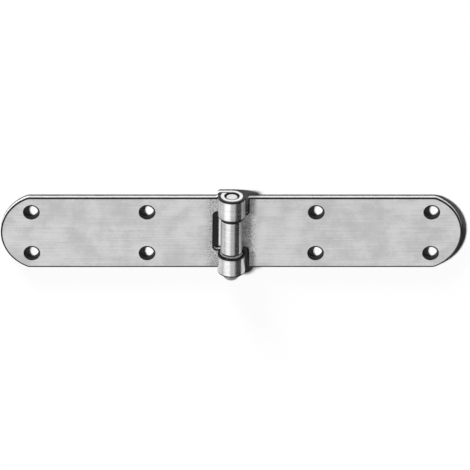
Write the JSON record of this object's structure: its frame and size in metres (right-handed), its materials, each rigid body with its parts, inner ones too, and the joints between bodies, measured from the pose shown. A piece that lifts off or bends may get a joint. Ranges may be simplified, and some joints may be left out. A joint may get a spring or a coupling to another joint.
{
  "type": "chest hinge",
  "caption": "Flat chest hinge of sheet steel: two long round-ended strap leaves with screw holes, joined by a short rolled barrel on a round-headed pin.",
  "frame": {"origin": "under the pin's axis, on the mounting plane, at mid-width of the leaves", "axes": "+X along the right leaf, +Y along the pin towards its plain end, +Z out of the mounting plane, away from the wood"},
  "size_m": [0.2, 0.0418, 0.012],
  "materials": {
    "zinc_plated_sheet": "zinc-plated rolled sheet steel, satin, with a faint grain along the leaf",
    "pin_steel": "drawn steel wire with a formed head, smooth and a little brighter than the sheet"
  },
  "bodies": {
    "left_leaf": {"left_leaf": "zinc_plated_sheet", "pin": "pin_steel"},
    "right_leaf": {"right_leaf": "zinc_plated_sheet"}
  },
  "joints": [
    {"name": "pin_hinge", "type": "hinge", "parent": "left_leaf", "child": "right_leaf", "pos_m": [0, 0, 0.006], "axis": [0, 1, 0], "range_deg": [-180, 90]}
  ]
}
